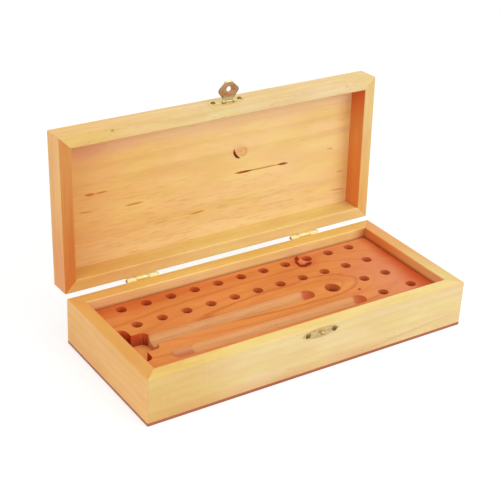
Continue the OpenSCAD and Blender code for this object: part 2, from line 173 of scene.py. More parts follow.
class Graph:
    """The nodes of a new material or world, and the one method that adds them."""

    def __init__(self, owner):
        owner.use_nodes = True
        self.owner, self.tree = owner, owner.node_tree
        self.tree.nodes.clear()

    def node(self, kind, settings=None, inputs=None, out=0):
        """Adds a node: its settings first, then a link or a constant for each socket. Gives one output."""
        made = self.tree.nodes.new(kind)
        for key, value in (settings or {}).items():
            setattr(made, key, value)
        for key, value in (inputs or {}).items():
            if isinstance(value, Value):
                self.tree.links.new(value.socket, made.inputs[key])
            elif isinstance(value, tuple) and len(value) == 3 and made.inputs[key].type == "RGBA":
                made.inputs[key].default_value = (*value, 1.0)
            else:
                made.inputs[key].default_value = value
        return Value(self, made.outputs[out]) if made.outputs else None

    def mix(self, factor, a, b, blend="MIX"):
        """Colour a turned towards colour b by the factor."""
        return self.node("ShaderNodeMix", {"data_type": "RGBA", "blend_type": blend},
                         {0: factor, 6: a, 7: b}, out=2)

    def vector(self, a, b, c):
        """Three numbers as one vector."""
        return self.node("ShaderNodeCombineXYZ", None, {0: a, 1: b, 2: c})

    def noise(self, a, b, c, detail=2.0, roughness=0.5):
        """Noise from 0 to 1 over three numbers, one swell per unit."""
        return self.node("ShaderNodeTexNoise", None, {"Vector": self.vector(a, b, c), "Scale": 1.0,
                                                      "Detail": detail, "Roughness": roughness})

    def surface(self, colour, roughness, height, relief, metallic=0.0, coat=0.0, specular=0.5):
        """The principled shader, with a bump of the given height map and relief in metres."""
        bump = self.node("ShaderNodeBump", None, {"Strength": 1.0, "Distance": relief, "Height": height})
        shader = self.node("ShaderNodeBsdfPrincipled", None, {
            "Base Color": colour, "Roughness": roughness, "Metallic": metallic, "Coat Weight": coat,
            "Coat Roughness": 0.25, "Specular IOR Level": specular, "Normal": bump})
        self.node("ShaderNodeOutputMaterial", None, {"Surface": shader})
        return self.owner


def new_material(name):
    """The nodes of a new material."""
    return Graph(bpy.data.materials.new(name))


def place(g, on_lid=False):
    """The object coordinates in millimetres, those of a lid piece as it lies when closed."""
    p = g.node("ShaderNodeTexCoord", out="Object")
    if on_lid:
        p = g.node("ShaderNodeMapping", None, {"Vector": p, "Location": tuple(CLOSED.translation),
                                               "Rotation": (OPEN_ANGLE, 0.0, 0.0)})
    p = g.node("ShaderNodeVectorMath", {"operation": "SCALE"}, {0: p, "Scale": 1000.0})
    return [g.node("ShaderNodeSeparateXYZ", None, {0: p}, out=i) for i in range(3)]


def facing(g, direction, low=0.55, high=0.85):
    """1 on the faces whose normal points that way, 0 on the others."""
    normal = g.node("ShaderNodeTexCoord", out="Normal")
    return g.node("ShaderNodeVectorMath", {"operation": "DOT_PRODUCT"},
                  {0: normal, 1: direction}, out="Value").ramp(low, high)


# Width that a stroke keeps at its ends, in millimetres
LEAST_WIDTH = 0.02


def hypot(x, y):
    """The root of the sum of two squares."""
    return (x * x + y * y).root()


def distance(a, b, centre, weights):
    """How far a place is from the centre, its two squares weighted, so that it is level along ellipses."""
    x, y = a - centre[0], b - centre[1]
    return (x * x * weights[0] + y * y * weights[1]).root()


def stroke(off, middle, width):
    """1 near a line and 0 away from it. Its width tapers with the middle mask, which is 1 halfway along."""
    return 1 - (off / (middle * width + LEAST_WIDTH)).ramp(0.45, 1.0)


def streak(a, b, start, end, width, wave=0.0):
    """1 on a straight streak from start to end, its width tapering to both ends."""
    length = math.dist(start, end)
    u = ((end[0] - start[0]) / length, (end[1] - start[1]) / length)
    along = (a - start[0]) * u[0] + (b - start[1]) * u[1]
    off = ((a - start[0]) * -u[1] + (b - start[1]) * u[0] + wave).size()
    middle = 1 - ((along - length / 2) / (length / 2)).size().ramp(0.2, 1.0)
    return stroke(off, middle, width) * middle.ramp(0.0, 0.15)


def crescent(g, a, b, centre, radius, turn, half_angle, width):
    """1 on an arc of a circle around centre, facing the turn, widest in its middle."""
    x, y = a - centre[0], b - centre[1]
    angle = g.node("ShaderNodeMath", {"operation": "ARCTAN2"}, {
        0: y * math.cos(turn) - x * math.sin(turn), 1: x * math.cos(turn) + y * math.sin(turn)})
    middle = 1 - (angle / half_angle).size().ramp(0.25, 1.0)
    return stroke((hypot(x, y) - radius).size(), middle, width) * middle.ramp(0.0, 0.12)


# How far the wood's and the metal's bumps rise, in metres
WOOD_RELIEF, METAL_RELIEF = 0.00006, 0.00003
# Tints of the wood's rosy and yellow patches
ROSY, YELLOW = (1.0, 0.975, 1.02), (0.992, 1.03, 0.94)
# The shares of a ring's breadth at which it starts to darken, and at which it is darkest and ends
RING_DARKENS, RING_ENDS = 0.3, 0.86
# The noise at which a pore begins, and at which it is full
PORE_BEGINS, PORE_FULL = 0.60, 0.74


def wood(name, tone, deep, *, seed, heart, ring, pores, across=False, on_lid=False, spacing=7.0, patch=0.5,
         dash=(5.2, 0.5), fibre=0.06, swing=(0.03, 0.06, 0.12), roughness=0.5, coat=0.08, specular=0.5,
         faces=(), far=None, marks=None):
    """Wood with its grain along X, or along Y where across is true. Sizes are in millimetres.
    Tone: broad noise drawn out along the grain, which shifts the tone up and down by the swing, and a
    second one that turns it between rosy and yellow.
    Rings: distance from the heart, a line along the grain that is given by its places across it and up, over
    the spacing. Each ring darkens slowly and ends sharply.
    Fibres: fine noise drawn out along the grain.
    Pores: dashes of the given length and width where fine noise is high, in patches.
    faces sets the tones of the sides whose normals are listed, which are painted light and shade, far tints
    the piece from one place along the grain to another as painted shade, and marks adds knots and streaks,
    and on some pieces painted light and shade."""
    g = new_material(name)
    x, y, z = place(g, on_lid)
    a, b, c = (y, x, z) if across else (x, y, z)

    def grain(long, wide, shift=0.0, seeds=1, detail=2.0, rough=0.5):
        """Noise whose swells are that long along the grain and that wide across it."""
        return g.noise(a / long + seed * seeds, b / wide + shift, c / wide, detail, rough)

    warp = grain(95, 30) - 0.5
    wave = grain(26, 9, shift=5.3, detail=1.0) - 0.5
    cloud = grain(60, 14, shift=3.1, seeds=2, detail=4.0, rough=0.6)
    hue = grain(46, 15, shift=8.3, seeds=5, detail=4.0, rough=0.55)
    strand = grain(24, 0.55, detail=3.0, rough=0.6)
    crowd = grain(34, 13, shift=1.7, seeds=3)
    pore = (grain(*dash, detail=1.0, rough=0.4).ramp(PORE_BEGINS, PORE_FULL)
            * crowd.ramp(patch - 0.12, patch + 0.15))

    side = b - heart[0] + warp * 11 + wave * 1.6
    depth = (c - heart[1]) + warp * 4
    turn = (hypot(side, depth) / spacing + warp * 0.8).fraction()
    late = turn.ramp(RING_DARKENS, RING_ENDS) * (1 - turn.ramp(RING_ENDS, 1.0))

    low, high = (tuple(t * (1 + sign * v) for t, v in zip(tone, swing)) for sign in (-1, 1))
    colour = g.mix(cloud.ramp(0.33, 0.67), high, low)
    colour = g.mix(late * ring, colour, deep)
    colour = g.mix(1.0, colour, g.mix(hue.ramp(0.36, 0.64), ROSY, YELLOW), "MULTIPLY")
    # Painted light and shade: each listed side gets the tone that it shows under the light
    for direction, paint, *limits in faces:
        tint = tuple(p / t for p, t in zip(paint, tone))
        colour = g.mix(facing(g, direction, *limits), colour, tint, "MULTIPLY")
    # Painted shade: the tint from one place along the grain to another
    if far:
        start, end, tint = far
        colour = g.mix((a + warp * 40).ramp(start, end), colour, tint, "MULTIPLY")
    if marks:
        colour = marks(g, a, b, c, colour, wave)
    colour = g.mix(pore * pores, colour, g.mix(1.0, colour, deep, "MULTIPLY"))
    shade = (strand - 0.5) * (2 * fibre) + 1
    grey = g.node("ShaderNodeCombineColor", None, {0: shade, 1: shade, 2: shade})
    colour = g.mix(1.0, colour, grey, "MULTIPLY")
    height = strand * 0.35 - pore + late * 0.2
    return g.surface(colour, cloud * 0.12 + (roughness - 0.06), height, WOOD_RELIEF,
                     coat=coat, specular=specular)


def metal(name, bright, dull, dark, roughness, tarnish, metallic=1.0, marks=None):
    """Brass or bronze: blotches turn the bright metal dull, tarnish darkens their middles and small specks,
    and fine scratches run along the sheet. Sizes are in millimetres."""
    g = new_material(name)
    x, y, z = place(g)
    blotch = g.noise(x / 3.2, y / 3.2 + 7.0, z / 3.2, 4.0, 0.65)
    speck = g.noise(x / 0.55, y / 0.55, z / 0.55 + 3.0, 2.0, 0.6)
    scratch = g.noise(x / 2.0, y / 0.12, z / 2.0, 2.0, 0.7)
    colour = g.mix(blotch.ramp(0.38, 0.66), bright, dull)
    colour = g.mix(blotch.ramp(0.56, 0.74) * tarnish, colour, dark)
    colour = g.mix(speck.ramp(0.6, 0.75) * (tarnish * 0.6), colour, dark)
    if marks:
        colour = marks(g, x, z, colour)
    return g.surface(colour, scratch * 0.16 + blotch * 0.14 + (roughness - 0.14),
                     scratch * 0.6 + speck * 0.4, METAL_RELIEF, metallic=metallic)


# --- Marks on the boards ---
# Each function takes the place along the grain, a, across it, b, and up, c, in millimetres, the colour so
# far and a slow wave that keeps the marks' borders uneven. It gives the colour with the marks added.

def front_marks(g, a, b, c, colour, wave):
    """A faint grey line that climbs to the right along the board, and a deeper tone low on its left."""
    line = streak(a, c, (40.0, 5.0), (150.0, 14.0), 1.6, wave * 3)
    colour = g.mix(line * 0.25, colour, rgb(200, 165, 120))
    low_left = (1 - (c + wave * 4).ramp(3.0, 15.0)) * (1 - a.ramp(30.0, 110.0))
    return g.mix(low_left, colour, rgb(246, 228, 220), "MULTIPLY")


def back_wall_painted_shade(g, a, b, c, colour, wave):
    """Painted shade on the back wall's inner face: it deepens towards its right corner and down at the
    block.
    """
    inner = facing(g, FRONT)
    colour = g.mix(inner * a.ramp(122.0, 138.0) * 0.75, colour, rgb(206, 108, 48))
    return g.mix(inner * (1 - c.ramp(32.0, 34.5)) * 0.5, colour, rgb(190, 100, 50))


def right_wall_light_and_shade(g, a, b, c, colour, wave):
    """Painted light and shade on the right wall's inner face: it deepens down at the block and towards the
    back, and is paler in front.
    """
    inner = facing(g, LEFT)
    colour = g.mix(inner * a.ramp(-10.0, 50.0) * 0.4, colour, rgb(204, 92, 44))
    colour = g.mix(inner * (1 - (a + wave * 8).ramp(-50.0, -20.0)) * 0.45, colour, rgb(240, 170, 124))
    return g.mix(inner * (1 - c.ramp(32.0, 35.0)) * 0.6, colour, rgb(176, 70, 28))


def front_rail_marks(g, a, b, c, colour, wave):
    """A pin knot on the lid's front rail."""
    knot = distance(a, b, (-104.8, -63.9), (0.6, 1))
    return g.mix((1 - knot.ramp(0.6, 1.6)) * 0.7, colour, rgb(176, 124, 62))


def left_rail_marks(g, a, b, c, colour, wave):
    """Reddish streaks along the left rail's rim, deeper towards the hinges."""
    line = g.noise(a / 70, (b + wave * 0.8) / 1.7, 0.0, 2.0, 0.6).ramp(0.45, 0.68)
    return g.mix(line * a.ramp(-50.0, 40.0, 0.15, 0.6) * facing(g, FRONT), colour, rgb(204, 96, 46))


def right_rail_painted_shade(g, a, b, c, colour, wave):
    """Painted shade on the right rail's inner face, which deepens towards the front rail."""
    return g.mix(facing(g, LEFT) * (1 - a.ramp(-54.0, -12.0)) * 0.85, colour, rgb(217, 92, 38))


# The dark ends of the panel's crack, then its resin streaks: start, end, width, strength and colour
PANEL_STREAKS = (
    ((17.0, 3.9), (39.0, 4.4), 1.3, 0.95, rgb(152, 60, 18)),
    ((61.5, 4.5), (75.0, 5.2), 1.4, 0.95, rgb(152, 60, 18)),
    ((-122.5, -6.4), (-111.0, -5.6), 1.6, 0.9, rgb(214, 112, 56)),
    ((-114.0, -5.8), (-99.5, -5.8), 0.9, 0.7, rgb(204, 104, 44)),
    ((-88.5, 10.4), (-66.0, 10.7), 1.1, 0.75, rgb(210, 118, 44)),
    ((-26.5, 32.3), (-8.5, 31.1), 1.0, 0.75, rgb(206, 112, 48)),
    ((-129.0, 7.7), (-112.5, 9.2), 0.9, 0.6, rgb(204, 120, 54)),
    ((-63.0, 33.2), (-42.0, 32.4), 1.6, 0.35, rgb(206, 150, 76)),
    ((114.0, 0.4), (123.0, 0.8), 1.0, 0.45, rgb(196, 130, 80)),
    ((119.0, 41.2), (139.0, 42.9), 1.0, 0.5, rgb(196, 124, 74)),
    ((126.0, 24.6), (136.0, 25.0), 0.9, 0.4, rgb(196, 130, 80)),
)


def panel_light_and_shade(g, a, b, colour, wave):
    """Painted light and shade in bands inside the lid, along the front, the hinges and the left rail, and
    painted shade in one broad patch.
    """
    inner = facing(g, FRONT)
    broad_shade = distance(a, b, (-118, -43), (1 / 500, 1 / 150)) + wave * 1.2
    for mask, strength, paint in (
            ((b * -1 + wave * 6).ramp(32.0, 50.0), 0.6, rgb(255, 224, 190)),
            ((b * -1 - a * 0.2 + wave * 6).ramp(48.0, 72.0), 0.5, rgb(240, 168, 126)),
            ((b + wave * 6).ramp(34.0, 48.0), 0.4, rgb(255, 218, 164)),
            (1 - (a + wave * 4).ramp(-132.0, -80.0), 0.35, rgb(228, 166, 104)),
            (1 - broad_shade.ramp(0.2, 1.2), 0.3, rgb(220, 150, 118))):
        colour = g.mix(mask * inner * strength, colour, paint)
    return colour


def panel_marks(g, a, b, c, colour, wave):
    """Painted light and shade in bands, then smears along the grain, a knot with a pale halo, a rusty swirl
    and a dark crescent, and streaks.
    """
    colour = panel_light_and_shade(g, a, b, colour, wave)
    smear = g.noise(a / 18 + 2.0, b / 2.2, 0.0, 1.0, 0.5).ramp(0.5, 0.72) * (b - a * 0.25).ramp(-12.0, 26.0)
    colour = g.mix(smear * 0.32, colour, rgb(222, 156, 90))
    halo = distance(a, b, (24, -16), (1 / 110, 1 / 75)) + wave * 0.5
    colour = g.mix((1 - halo.ramp(0.1, 1.1)) * 0.42, colour, rgb(220, 138, 88))
    swirl = crescent(g, a, b, (27.0, -14.6), 3.4, 0.4, 2.6, 1.1)
    colour = g.mix(swirl * 0.45, colour, rgb(206, 120, 66))
    crack = streak(a, b, (16.8, 3.7), (75.0, 4.9), 0.9, wave * 0.6)
    colour = g.mix(crack * 0.75, colour, rgb(196, 112, 58))
    for start, end, width, strength, paint in PANEL_STREAKS:
        colour = g.mix(streak(a, b, start, end, width, wave * 0.5) * strength, colour, paint)
    return g.mix(crescent(g, a, b, (26.8, -17.6), 8.8, 2.55, 0.82, 1.6), colour, rgb(112, 22, 0))


# --- Marks on the block ---

# Heights of the block's top and of the pocket's floor
BLOCK_TOP, POCKET_FLOOR = 32.0, 21.0
# The line between the two grooves, and the left end of both, at the pocket's head
GROOVES_PART, GROOVES_START = -22.5, -114.0
# The right ends of the front groove and of the handle groove, and the back edge of the latter
FRONT_END, HANDLE_END, HANDLE_BACK = 74.0, 40.0, 0.5
# The places of the painted shade on the block's edges against the right and the back wall
WALL_SHADE_RIGHT, WALL_SHADE_BACK = 136.4, 52.4
# The way that the walls of the holes and the pocket face on the side that gets painted light
LIT_SIDE_OF_WALLS = (0.825, -0.565, 0)
# The arched grain's middle, near the wide hole, and how far out each line lies, its width and its strength
ARCHES_MIDDLE = (48, -3)
ARCHES = ((1.0, 0.11, 0.6), (1.5, 0.10, 0.22), (2.2, 0.13, 0.4), (0.62, 0.09, 0.2), (2.9, 0.16, 0.22))
# The cracked ring of the block's knot: start, end and width of each streak
KNOT_CRACKS = (((63.0, 52.5), (56.4, 43.0), 2.6), ((56.8, 46.5), (54.6, 35.5), 2.2),
               ((52.5, 37.8), (62.0, 32.2), 3.2), ((57.0, 33.2), (69.0, 37.8), 3.2))


def past(value, edge, half=0.5):
    """1 beyond an edge and 0 before it."""
    return value.ramp(edge - half, edge + half)


def block_grain(g, a, b, colour, wave):
    """Arched lines around the wide hole, drawn out to its left, and a pinker right half."""
    x, y = a - ARCHES_MIDDLE[0], b - ARCHES_MIDDLE[1]
    drawn_out = x.ramp(-30.0, 0.0, 0.32, 1.0)
    arch = hypot(x * drawn_out / 36, (y + wave * 2.5) / 17) + wave * 0.15
    for at, width, strength in ARCHES:
        line = 1 - ((arch - at).size() / width).ramp(0.0, 1.0)
        colour = g.mix(line * strength, colour, rgb(190, 92, 40))
    pink = (a + wave * 14 + b * 0.2).ramp(55.0, 120.0) * (b * -1 + wave * 8).ramp(-40.0, 10.0, 0.4, 0.85)
    return g.mix(pink, colour, rgb(226, 141, 98))


def block_knot(g, a, b, colour, wave):
    """A red knot with a paler heart and a cracked ring around it."""
    knot = distance(a, b, (62, 42), (1, 0.8)) + wave * 3
    colour = g.mix((1 - knot.ramp(3.0, 17.0)) * 0.7, colour, rgb(208, 94, 46))
    colour = g.mix((1 - knot.ramp(2.0, 6.0)) * 0.6, colour, rgb(238, 150, 108))
    for start, end, width in KNOT_CRACKS:
        colour = g.mix(streak(a, b, start, end, width, wave) * 0.95, colour, rgb(134, 28, 2))
    return colour


def groove_marks_and_shade(g, a, b, colour, groove, front, handle):
    """Paler grooves, streaked along the grain. Painted light makes the half that faces the front lighter,
    painted shade makes the other half darker, and painted shade makes the right ends red."""
    colour = g.mix(groove * 0.6, colour, rgb(214, 168, 110))
    colour = g.mix(groove * (1 - past(a, -90.0, 1.0)) * front * 0.8, colour, rgb(196, 108, 70))
    strip = g.noise(a / 34 + 4.0, b / 1.3, 0.0, 2.0, 0.6).ramp(0.42, 0.66)
    colour = g.mix(groove * strip * 0.5, colour, rgb(196, 128, 84))
    # Painted light on the half that faces the front, painted shade on the other half
    colour = g.mix(groove * facing(g, FRONT, 0.5, 0.95) * 0.5, colour, rgb(252, 194, 132))
    colour = g.mix(groove * facing(g, BACK, 0.3, 0.9) * 0.5, colour, rgb(186, 108, 62))
    # Painted shade on the grooves' right ends
    for plan, start in ((handle, 28.5), (front, 62.0)):
        colour = g.mix(groove * plan * a.ramp(start, start + 4.0) * 0.75, colour, rgb(200, 78, 38))
    return colour


def block_marks(g, a, b, c, colour, wave):
    """Arched grain, a redder right end, a knot, a redder back left, painted shade along the right and back
    walls, the grooves, and the pocket's pale floor. All other walls are red, with painted shade that deepens
    with depth and painted light on their side towards the front right."""
    up = facing(g, UP, 0.1, 0.4)
    front = (1 - past(b, GROOVES_PART)) * (1 - past(a, FRONT_END))
    handle = past(b, GROOVES_PART) * (1 - past(b, HANDLE_BACK)) * (1 - past(a, HANDLE_END))
    grooves = (front + handle) * past(a, GROOVES_START)
    sunk = 1 - c.ramp(BLOCK_TOP - 0.5, BLOCK_TOP - 0.05)
    colour = block_grain(g, a, b, colour, wave)
    colour = g.mix((a - b * 0.15 + wave * 8).ramp(117.0, 137.0) * 0.9, colour, rgb(206, 84, 32))
    colour = block_knot(g, a, b, colour, wave)
    back_left = (b + wave * 6).ramp(30.0, 50.0) * (1 - a.ramp(-100.0, 20.0))
    colour = g.mix(back_left * 0.8, colour, rgb(206, 92, 36))
    # Painted shade where the block meets the right and the back wall
    edge = past(a, WALL_SHADE_RIGHT).top(past(b, WALL_SHADE_BACK))
    colour = g.mix(edge * 0.6, colour, rgb(170, 62, 24))
    colour = groove_marks_and_shade(g, a, b, colour, grooves * sunk, front, handle)
    pocket = up * (1 - c.ramp(POCKET_FLOOR + 1, POCKET_FLOOR + 3))
    colour = g.mix(pocket * 0.9, colour, rgb(252, 176, 98))
    # The walls: painted shade that deepens with depth, and painted light on the side towards the front right
    wall = g.mix(c.ramp(POCKET_FLOOR + 1, BLOCK_TOP - 0.2), rgb(118, 10, 0), rgb(204, 60, 16))
    wall = g.mix(facing(g, LIT_SIDE_OF_WALLS, -0.2, 0.9) * 0.5, wall, rgb(228, 122, 76))
    return g.mix((1 - up) * (1 - grooves) * 0.95, colour, wall)


# --- Marks on the clasp ---

# Height of the clasp plate's face while the lid is open, above which its knuckle stands, in millimetres
PLATE_TOP = 176.0
# The middle of the upright hasp, across and up, and the height at which its edges are darkest
HASP_MIDDLE, HASP_DARKEST = (3, 186), 180


def plate_marks(g, x, z, colour):
    """The clasp plate's knuckle is duller than the plate."""
    return g.mix(past(z, PLATE_TOP, 0.2) * 0.8, colour, rgb(184, 178, 148))


def hasp_marks_and_highlight(g, x, z, colour):
    """The hasp's edges are darker and its lower part paler, and a painted highlight makes its lip paler."""
    out = distance(x, z, HASP_MIDDLE, (1, 1.3))
    edge = out.ramp(7.0, 9.3) * (1 - (z - HASP_DARKEST).size().ramp(4.0, 9.0) * 0.3)
    colour = g.mix(edge * 0.6, colour, rgb(116, 92, 54))
    colour = g.mix((1 - z.ramp(178.0, 181.5)) * 0.8, colour, rgb(214, 198, 138))
    # Painted highlight on the lip
    return g.mix(z.ramp(192.2, 193.0) * 0.9, colour, rgb(232, 226, 184))


# --- Looks of the boards: what wood() is told of each ---

# On each board the tone of each listed side is painted light and shade, the rounded edge's tone is a painted
# highlight or painted shade, and the tint along the grain is painted shade
BASE_LOOKS = {
    "front": dict(
        seed=0.3, heart=(-40.0, -46.0), ring=0.10, pores=0.3, marks=front_marks,
        far=(-40.0, -150.0, rgb(249, 234, 202)),
        faces=[(UP, rgb(246, 219, 143)), (FRONT_EDGE, rgb(236, 203, 140), *EDGE_LIMITS)]),
    "back": dict(
        seed=4.1, heart=(90.0, -30.0), ring=0.14, pores=0.3, marks=back_wall_painted_shade,
        far=(-40.0, -150.0, rgb(250, 232, 224)),
        faces=[(UP, rgb(237, 194, 107)), (FRONT, rgb(247, 214, 147)),
               (FRONT_EDGE, rgb(252, 222, 158), *EDGE_LIMITS)]),
    "left": dict(
        seed=7.7, across=True, heart=(-170.0, -80.0), ring=0.12, pores=0.2,
        faces=[(LEFT, rgb(252, 191, 110)), (UP, rgb(233, 172, 91)), (RIGHT, rgb(240, 180, 110))]),
    "right": dict(
        seed=2.9, across=True, heart=(170.0, -60.0), ring=0.14, pores=0.25, marks=right_wall_light_and_shade,
        far=(-45.0, 35.0, rgb(250, 212, 184)),
        faces=[(UP, rgb(239, 206, 133)), (LEFT, rgb(240, 190, 126))]),
}

# The open lid's rim faces the front
# The rails carry painted light and shade in the same way: a tone for each side, for the rounded edge and
# along the grain
LID_LOOKS = {
    "front": dict(
        seed=1.3, heart=(-90.0, 20.0), ring=0.16, pores=0.45, marks=front_rail_marks,
        far=(0.0, -140.0, rgb(253, 237, 202)),
        faces=[(FRONT, rgb(241, 216, 158)), (UP, rgb(243, 207, 139)),
               (FRONT_EDGE, rgb(236, 203, 140), *EDGE_LIMITS)]),
    "back": dict(
        seed=5.9, heart=(90.0, 30.0), ring=0.14, pores=0.3,
        far=(0.0, -150.0, rgb(243, 214, 190)),
        faces=[(FRONT, rgb(243, 211, 139)), (UP, rgb(233, 202, 124)),
               (FRONT_EDGE, rgb(250, 218, 150), *EDGE_LIMITS)]),
    "left": dict(
        seed=8.2, across=True, heart=(-160.0, 30.0), ring=0.14, pores=0.2, marks=left_rail_marks,
        far=(-55.0, 60.0, rgb(250, 218, 198)),
        faces=[(FRONT, rgb(220, 148, 71)), (LEFT, rgb(251, 190, 111))]),
    "right": dict(
        seed=3.4, across=True, heart=(160.0, 20.0), ring=0.14, pores=0.2, marks=right_rail_painted_shade,
        far=(-50.0, 40.0, rgb(253, 224, 196)),
        faces=[(FRONT, rgb(239, 207, 136)), (LEFT, rgb(229, 150, 80))]),
}


# --- Meshes ---

def modify(item, *steps):
    """Adds modifiers to an object, each given as its kind and its settings."""
    for kind, settings in steps:
        made = item.modifiers.new(kind.title(), kind)
        for key, value in settings.items():
            setattr(made, key, value)


def add_piece(name, vertices, faces, material, body, node):
    """A new object at the origin that rides on a body and stands for a CAD node. Weighted normals shade its
    wide sides flat and keep its rounded edges smooth."""
    mesh = bpy.data.meshes.new(name)
    mesh.from_pydata(vertices.tolist(), [], faces)
    mesh.polygons.foreach_set("use_smooth", [True] * len(mesh.polygons))
    mesh.update()
    mesh.materials.append(material)
    piece = bpy.data.objects.new(name, mesh)
    bpy.context.scene.collection.objects.link(piece)
    modify(piece, ("WEIGHTED_NORMAL", {"weight": 100}))
    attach(piece, body)
    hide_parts(node)


def dress(name, material, ease):
    """Gives a CAD node its finish. Its doubled points are joined, its flat faces made whole, and its sharp
    edges bevelled by the ease."""
    node = frame["nodes"][name]
    node.data.materials.clear()
    node.data.materials.append(material)
    modify(node,
           ("WELD", {"merge_threshold": 1e-6}),
           ("DECIMATE", {"decimate_type": "DISSOLVE", "angle_limit": math.radians(0.4)}),
           ("BEVEL", {"width": ease, "segments": 2, "limit_method": "ANGLE",
                      "angle_limit": math.radians(35), "harden_normals": True}))


def opened(points):
    """Points of the closed lid, an array of rows, moved to where it stands open: the rows times the turn,
    plus the shift."""
    m = np.array(OPENED)
    return points @ m[:3, :3].T + m[:3, 3]


def corner_arc(centre, radius, start, steps):
    """A quarter circle from the start angle on: centre + radius * (cos t, sin t)."""
    t = np.radians(start + np.linspace(0, 90, steps))
    return np.column_stack([centre[0] + radius * np.cos(t), centre[1] + radius * np.sin(t)])


def board_section(thick, low, high, radii):
    """The section of a board, rows of depth and height: a rectangle whose corners are quarter circles. The
    radii are those of the outer low, inner low, inner high and outer high corner."""
    outer_low, inner_low, inner_high, outer_high = radii
    return np.vstack([
        corner_arc((outer_low, low + outer_low), outer_low, 180, EDGE_STEPS),
        corner_arc((thick - inner_low, low + inner_low), inner_low, 270, EDGE_STEPS),
        corner_arc((thick - inner_high, high - inner_high), inner_high, 0, EDGE_STEPS),
        corner_arc((outer_high, high - outer_high), outer_high, 90, EDGE_STEPS)])


def mitred_board(side, section, corner, seam):
    """A board of a frame: its section carried along one side of a rounded rectangle, between two mitres.
    At a depth under the corner radius the path is the same rectangle with its corner radius less by the
    depth. Deeper than that the path has sharp corners, and its rings stand a little apart along the board
    instead. The last ring at each mitre is drawn in by the seam, so that the joint shows as a fine line."""
    reach, half = (HALF_L, HALF_D) if side in ("front", "back") else (HALF_D, HALF_L)
    middle = section.mean(0)
    inward = section + np.sign(middle - section) * seam
    # Each ring near the first mitre: the end's sign, its angle round the corner, its step back, its profile
    ends = [(-1, 45, 0, inward), (-1, 45, seam, section), (-1, 30, 0, section), (-1, 15, 0, section),
            (-1, 0, 0, section)]
    rings = []
    for sign, angle, back, profile in ends + [(1, *e[1:]) for e in ends[::-1]]:
        d, z = profile.T
        m = np.maximum(corner, d)
        rest = np.maximum(corner - d, 0)
        apart = (1 - rest / corner) * (45 - angle) * LEAST
        along = sign * (reach - m + rest * math.sin(math.radians(angle)) - back - apart)
        off = -half + m - rest * math.cos(math.radians(angle))
        plan = {"front": (along, off), "back": (-along, -off), "right": (-off, along),
                "left": (off, -along)}[side]
        rings.append(np.column_stack([*plan, z]))
    return lofted(rings)


def lofted(rings):
    """A skin over rings of equal length, with flat ends. Each ring is a loop that runs anticlockwise seen
    from the last ring's side. Face i, j joins the points j and j + 1 of the rings i and i + 1."""
    count, size = len(rings), len(rings[0])
    i, j = np.meshgrid(np.arange(count - 1), np.arange(size), indexing="ij")
    k = (j + 1) % size
    faces = np.stack([i * size + j, i * size + k, (i + 1) * size + k, (i + 1) * size + j], -1)
    last = (count - 1) * size
    ends = [list(range(size))[::-1], list(range(last, last + size))]
    return np.vstack(rings), faces.reshape(-1, 4).tolist() + ends


def rounded_slab(low, high, corner, under, over):
    """A flat panel: its outline, a rounded rectangle, carried up an edge that is a quarter circle below, of
    the radius under, and another above, of the radius over."""
    def ring(inset, z):
        r = max(corner - inset, LEAST)
        x, y = HALF_L - max(inset, corner), HALF_D - max(inset, corner)
        outline = np.vstack([corner_arc((x * sx, y * sy), r, start, CORNER_STEPS) for sx, sy, start in
                             ((1, 1, 0), (-1, 1, 90), (-1, -1, 180), (1, -1, 270))])
        return np.column_stack([outline, np.full(len(outline), z)])
    t = np.radians(np.linspace(0, 90, EDGE_STEPS))
    rings = [ring(under * (1 - math.sin(v)), low + under * (1 - math.cos(v))) for v in t]
    rings += [ring(over * (1 - math.cos(v)), high - over * (1 - math.sin(v))) for v in t]
    return lofted(rings)


# --- Settings ---

def tone_setting(name, description, r, g, b):
    """A colour that a user can change, with a screen colour, 0 to 255, as its default."""
    return bpy.props.FloatVectorProperty(name=name, description=description, subtype="COLOR", size=3,
                                         min=0.0, max=1.0, default=rgb(r, g, b))


def length_setting(name, description, default):
    """A length that a user can change, in metres."""
    return bpy.props.FloatProperty(name=name, description=description, default=default, min=LEAST,
                                   unit="LENGTH", precision=5)


def level_setting(name, description, default):
    """A strength of light that a user can change."""
    return bpy.props.FloatProperty(name=name, description=description, default=default)


class BoxBoards(bpy.types.PropertyGroup):
    edge: length_setting("Outer edge", "Rounding of the box's outer edges", 0.0008)
    rim: length_setting("Rim edge", "Rounding of the inner edge of the rim", 0.0010)
    seam: length_setting("Seam", "Depth of the fine line at each mitred joint", 0.00012)
    lid_height: length_setting("Lid height", "Height of the lid, its panel included", 0.0205)
    lid_wall: length_setting("Lid rail", "Thickness of a lid rail", 0.0105)
    lid_panel: length_setting("Lid panel", "Thickness of the lid's panel", 0.002)
    pale: tone_setting("Pale wood", "Tone of the boards", 244, 216, 156)
    deep: tone_setting("Deep wood", "Colour of the boards' pores and late rings", 220, 168, 102)


class BlockWood(bpy.types.PropertyGroup):
    ease: length_setting("Edge", "Bevel of the block's edges", 0.0003)
    red: tone_setting("Red wood", "Tone of the block", 231, 146, 77)
    deep: tone_setting("Deep wood", "Colour of the block's rings and pores", 190, 96, 40)


class Hardware(bpy.types.PropertyGroup):
    brass: tone_setting("Brass", "Colour of the clasp plate's bright brass", 236, 220, 154)
    bronze: tone_setting("Bronze", "Colour of the hasp and the pins", 188, 145, 100)
    screw: tone_setting("Screw metal", "Colour of the screw heads", 144, 114, 60)


class Stage(bpy.types.PropertyGroup):
    ambient: level_setting("Ambient", "Strength of the even light", 0.63)
    key: level_setting("Key", "Strength of the soft key light, in watts", 7.0)


# --- Operators ---

